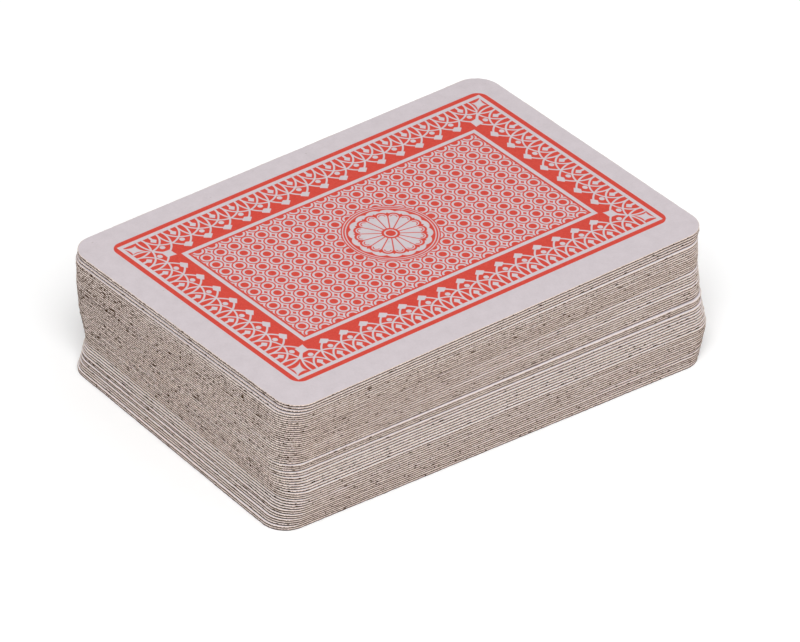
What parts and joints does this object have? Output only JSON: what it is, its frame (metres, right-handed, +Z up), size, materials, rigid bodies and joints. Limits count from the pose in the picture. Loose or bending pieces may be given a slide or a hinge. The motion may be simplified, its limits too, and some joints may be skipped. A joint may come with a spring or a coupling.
{
  "type": "miniature playing card deck",
  "caption": "Small deck of loose rounded-corner playing cards lying face down as a squared stack, each card free to be drawn out endways.",
  "frame": {"origin": "centre of the underside of the lowest card, on the table", "axes": "+X along the lowest card's long side, +Y along its short side, +Z up through the stack"},
  "size_m": [0.0622, 0.0439, 0.0149],
  "materials": {
    "card_stock": "coated white paper on a grey recycled board core, red printed back"
  },
  "bodies": {
    "ace_of_spades": {"ace_of_spades": "card_stock"},
    "two_of_spades": {"two_of_spades": "card_stock"},
    "three_of_spades": {"three_of_spades": "card_stock"},
    "four_of_spades": {"four_of_spades": "card_stock"},
    "five_of_spades": {"five_of_spades": "card_stock"},
    "six_of_spades": {"six_of_spades": "card_stock"},
    "seven_of_spades": {"seven_of_spades": "card_stock"},
    "eight_of_spades": {"eight_of_spades": "card_stock"},
    "nine_of_spades": {"nine_of_spades": "card_stock"},
    "ten_of_spades": {"ten_of_spades": "card_stock"},
    "jack_of_spades": {"jack_of_spades": "card_stock"},
    "queen_of_spades": {"queen_of_spades": "card_stock"},
    "king_of_spades": {"king_of_spades": "card_stock"},
    "ace_of_hearts": {"ace_of_hearts": "card_stock"},
    "two_of_hearts": {"two_of_hearts": "card_stock"},
    "three_of_hearts": {"three_of_hearts": "card_stock"},
    "four_of_hearts": {"four_of_hearts": "card_stock"},
    "five_of_hearts": {"five_of_hearts": "card_stock"},
    "six_of_hearts": {"six_of_hearts": "card_stock"},
    "seven_of_hearts": {"seven_of_hearts": "card_stock"},
    "eight_of_hearts": {"eight_of_hearts": "card_stock"},
    "nine_of_hearts": {"nine_of_hearts": "card_stock"},
    "ten_of_hearts": {"ten_of_hearts": "card_stock"},
    "jack_of_hearts": {"jack_of_hearts": "card_stock"},
    "queen_of_hearts": {"queen_of_hearts": "card_stock"},
    "king_of_hearts": {"king_of_hearts": "card_stock"},
    "ace_of_clubs": {"ace_of_clubs": "card_stock"},
    "two_of_clubs": {"two_of_clubs": "card_stock"},
    "three_of_clubs": {"three_of_clubs": "card_stock"},
    "four_of_clubs": {"four_of_clubs": "card_stock"},
    "five_of_clubs": {"five_of_clubs": "card_stock"},
    "six_of_clubs": {"six_of_clubs": "card_stock"},
    "seven_of_clubs": {"seven_of_clubs": "card_stock"},
    "eight_of_clubs": {"eight_of_clubs": "card_stock"},
    "nine_of_clubs": {"nine_of_clubs": "card_stock"},
    "ten_of_clubs": {"ten_of_clubs": "card_stock"},
    "jack_of_clubs": {"jack_of_clubs": "card_stock"},
    "queen_of_clubs": {"queen_of_clubs": "card_stock"},
    "king_of_clubs": {"king_of_clubs": "card_stock"},
    "ace_of_diamonds": {"ace_of_diamonds": "card_stock"},
    "two_of_diamonds": {"two_of_diamonds": "card_stock"},
    "three_of_diamonds": {"three_of_diamonds": "card_stock"},
    "four_of_diamonds": {"four_of_diamonds": "card_stock"},
    "five_of_diamonds": {"five_of_diamonds": "card_stock"},
    "six_of_diamonds": {"six_of_diamonds": "card_stock"},
    "seven_of_diamonds": {"seven_of_diamonds": "card_stock"},
    "eight_of_diamonds": {"eight_of_diamonds": "card_stock"},
    "nine_of_diamonds": {"nine_of_diamonds": "card_stock"},
    "ten_of_diamonds": {"ten_of_diamonds": "card_stock"},
    "jack_of_diamonds": {"jack_of_diamonds": "card_stock"},
    "queen_of_diamonds": {"queen_of_diamonds": "card_stock"},
    "king_of_diamonds": {"king_of_diamonds": "card_stock"},
    "red_joker": {"red_joker": "card_stock"},
    "black_joker": {"black_joker": "card_stock"}
  },
  "joints": [
    {"name": "draw_two_of_spades", "type": "slide", "parent": "ace_of_spades", "child": "two_of_spades", "axis": [1, 0, 0], "range_m": [-0.05, 0.05]},
    {"name": "draw_three_of_spades", "type": "slide", "parent": "ace_of_spades", "child": "three_of_spades", "axis": [1, 0, 0], "range_m": [-0.05, 0.05]},
    {"name": "draw_four_of_spades", "type": "slide", "parent": "ace_of_spades", "child": "four_of_spades", "axis": [1, 0, 0], "range_m": [-0.05, 0.05]},
    {"name": "draw_five_of_spades", "type": "slide", "parent": "ace_of_spades", "child": "five_of_spades", "axis": [1, 0, 0], "range_m": [-0.05, 0.05]},
    {"name": "draw_six_of_spades", "type": "slide", "parent": "ace_of_spades", "child": "six_of_spades", "axis": [1, 0, 0], "range_m": [-0.05, 0.05]},
    {"name": "draw_seven_of_spades", "type": "slide", "parent": "ace_of_spades", "child": "seven_of_spades", "axis": [1, 0, 0], "range_m": [-0.05, 0.05]},
    {"name": "draw_eight_of_spades", "type": "slide", "parent": "ace_of_spades", "child": "eight_of_spades", "axis": [1, 0, 0], "range_m": [-0.05, 0.05]},
    {"name": "draw_nine_of_spades", "type": "slide", "parent": "ace_of_spades", "child": "nine_of_spades", "axis": [1, 0, 0], "range_m": [-0.05, 0.05]},
    {"name": "draw_ten_of_spades", "type": "slide", "parent": "ace_of_spades", "child": "ten_of_spades", "axis": [1, 0, 0], "range_m": [-0.05, 0.05]},
    {"name": "draw_jack_of_spades", "type": "slide", "parent": "ace_of_spades", "child": "jack_of_spades", "axis": [1, 0, 0], "range_m": [-0.05, 0.05]},
    {"name": "draw_queen_of_spades", "type": "slide", "parent": "ace_of_spades", "child": "queen_of_spades", "axis": [1, 0, 0], "range_m": [-0.05, 0.05]},
    {"name": "draw_king_of_spades", "type": "slide", "parent": "ace_of_spades", "child": "king_of_spades", "axis": [1, 0, 0], "range_m": [-0.05, 0.05]},
    {"name": "draw_ace_of_hearts", "type": "slide", "parent": "ace_of_spades", "child": "ace_of_hearts", "axis": [1, 0, 0], "range_m": [-0.05, 0.05]},
    {"name": "draw_two_of_hearts", "type": "slide", "parent": "ace_of_spades", "child": "two_of_hearts", "axis": [1, 0, 0], "range_m": [-0.05, 0.05]},
    {"name": "draw_three_of_hearts", "type": "slide", "parent": "ace_of_spades", "child": "three_of_hearts", "axis": [1, 0, 0], "range_m": [-0.05, 0.05]},
    {"name": "draw_four_of_hearts", "type": "slide", "parent": "ace_of_spades", "child": "four_of_hearts", "axis": [1, 0, 0], "range_m": [-0.05, 0.05]},
    {"name": "draw_five_of_hearts", "type": "slide", "parent": "ace_of_spades", "child": "five_of_hearts", "axis": [1, 0, 0], "range_m": [-0.05, 0.05]},
    {"name": "draw_six_of_hearts", "type": "slide", "parent": "ace_of_spades", "child": "six_of_hearts", "axis": [1, 0, 0], "range_m": [-0.05, 0.05]},
    {"name": "draw_seven_of_hearts", "type": "slide", "parent": "ace_of_spades", "child": "seven_of_hearts", "axis": [1, 0, 0], "range_m": [-0.05, 0.05]},
    {"name": "draw_eight_of_hearts", "type": "slide", "parent": "ace_of_spades", "child": "eight_of_hearts", "axis": [1, 0, 0], "range_m": [-0.05, 0.05]},
    {"name": "draw_nine_of_hearts", "type": "slide", "parent": "ace_of_spades", "child": "nine_of_hearts", "axis": [1, 0, 0], "range_m": [-0.05, 0.05]},
    {"name": "draw_ten_of_hearts", "type": "slide", "parent": "ace_of_spades", "child": "ten_of_hearts", "axis": [1, 0, 0], "range_m": [-0.05, 0.05]},
    {"name": "draw_jack_of_hearts", "type": "slide", "parent": "ace_of_spades", "child": "jack_of_hearts", "axis": [1, 0, 0], "range_m": [-0.05, 0.05]},
    {"name": "draw_queen_of_hearts", "type": "slide", "parent": "ace_of_spades", "child": "queen_of_hearts", "axis": [1, 0, 0], "range_m": [-0.05, 0.05]},
    {"name": "draw_king_of_hearts", "type": "slide", "parent": "ace_of_spades", "child": "king_of_hearts", "axis": [1, 0, 0], "range_m": [-0.05, 0.05]},
    {"name": "draw_ace_of_clubs", "type": "slide", "parent": "ace_of_spades", "child": "ace_of_clubs", "axis": [1, 0, 0], "range_m": [-0.05, 0.05]},
    {"name": "draw_two_of_clubs", "type": "slide", "parent": "ace_of_spades", "child": "two_of_clubs", "axis": [1, 0, 0], "range_m": [-0.05, 0.05]},
    {"name": "draw_three_of_clubs", "type": "slide", "parent": "ace_of_spades", "child": "three_of_clubs", "axis": [1, 0, 0], "range_m": [-0.05, 0.05]},
    {"name": "draw_four_of_clubs", "type": "slide", "parent": "ace_of_spades", "child": "four_of_clubs", "axis": [1, 0, 0], "range_m": [-0.05, 0.05]},
    {"name": "draw_five_of_clubs", "type": "slide", "parent": "ace_of_spades", "child": "five_of_clubs", "axis": [1, 0, 0], "range_m": [-0.05, 0.05]},
    {"name": "draw_six_of_clubs", "type": "slide", "parent": "ace_of_spades", "child": "six_of_clubs", "axis": [1, 0, 0], "range_m": [-0.05, 0.05]},
    {"name": "draw_seven_of_clubs", "type": "slide", "parent": "ace_of_spades", "child": "seven_of_clubs", "axis": [1, 0, 0], "range_m": [-0.05, 0.05]},
    {"name": "draw_eight_of_clubs", "type": "slide", "parent": "ace_of_spades", "child": "eight_of_clubs", "axis": [1, 0, 0], "range_m": [-0.05, 0.05]},
    {"name": "draw_nine_of_clubs", "type": "slide", "parent": "ace_of_spades", "child": "nine_of_clubs", "axis": [1, 0, 0], "range_m": [-0.05, 0.05]},
    {"name": "draw_ten_of_clubs", "type": "slide", "parent": "ace_of_spades", "child": "ten_of_clubs", "axis": [1, 0, 0], "range_m": [-0.05, 0.05]},
    {"name": "draw_jack_of_clubs", "type": "slide", "parent": "ace_of_spades", "child": "jack_of_clubs", "axis": [1, 0, 0], "range_m": [-0.05, 0.05]},
    {"name": "draw_queen_of_clubs", "type": "slide", "parent": "ace_of_spades", "child": "queen_of_clubs", "axis": [1, 0, 0], "range_m": [-0.05, 0.05]},
    {"name": "draw_king_of_clubs", "type": "slide", "parent": "ace_of_spades", "child": "king_of_clubs", "axis": [1, 0, 0], "range_m": [-0.05, 0.05]},
    {"name": "draw_ace_of_diamonds", "type": "slide", "parent": "ace_of_spades", "child": "ace_of_diamonds", "axis": [1, 0, 0], "range_m": [-0.05, 0.05]},
    {"name": "draw_two_of_diamonds", "type": "slide", "parent": "ace_of_spades", "child": "two_of_diamonds", "axis": [1, 0, 0], "range_m": [-0.05, 0.05]},
    {"name": "draw_three_of_diamonds", "type": "slide", "parent": "ace_of_spades", "child": "three_of_diamonds", "axis": [1, 0, 0], "range_m": [-0.05, 0.05]},
    {"name": "draw_four_of_diamonds", "type": "slide", "parent": "ace_of_spades", "child": "four_of_diamonds", "axis": [1, 0, 0], "range_m": [-0.05, 0.05]},
    {"name": "draw_five_of_diamonds", "type": "slide", "parent": "ace_of_spades", "child": "five_of_diamonds", "axis": [1, 0, 0], "range_m": [-0.05, 0.05]},
    {"name": "draw_six_of_diamonds", "type": "slide", "parent": "ace_of_spades", "child": "six_of_diamonds", "axis": [1, 0, 0], "range_m": [-0.05, 0.05]},
    {"name": "draw_seven_of_diamonds", "type": "slide", "parent": "ace_of_spades", "child": "seven_of_diamonds", "axis": [1, 0, 0], "range_m": [-0.05, 0.05]},
    {"name": "draw_eight_of_diamonds", "type": "slide", "parent": "ace_of_spades", "child": "eight_of_diamonds", "axis": [1, 0, 0], "range_m": [-0.05, 0.05]},
    {"name": "draw_nine_of_diamonds", "type": "slide", "parent": "ace_of_spades", "child": "nine_of_diamonds", "axis": [1, 0, 0], "range_m": [-0.05, 0.05]},
    {"name": "draw_ten_of_diamonds", "type": "slide", "parent": "ace_of_spades", "child": "ten_of_diamonds", "axis": [1, 0, 0], "range_m": [-0.05, 0.05]},
    {"name": "draw_jack_of_diamonds", "type": "slide", "parent": "ace_of_spades", "child": "jack_of_diamonds", "axis": [1, 0, 0], "range_m": [-0.05, 0.05]},
    {"name": "draw_queen_of_diamonds", "type": "slide", "parent": "ace_of_spades", "child": "queen_of_diamonds", "axis": [1, 0, 0], "range_m": [-0.05, 0.05]},
    {"name": "draw_king_of_diamonds", "type": "slide", "parent": "ace_of_spades", "child": "king_of_diamonds", "axis": [1, 0, 0], "range_m": [-0.05, 0.05]},
    {"name": "draw_red_joker", "type": "slide", "parent": "ace_of_spades", "child": "red_joker", "axis": [1, 0, 0], "range_m": [-0.05, 0.05]},
    {"name": "draw_black_joker", "type": "slide", "parent": "ace_of_spades", "child": "black_joker", "axis": [1, 0, 0], "range_m": [-0.05, 0.05]}
  ]
}
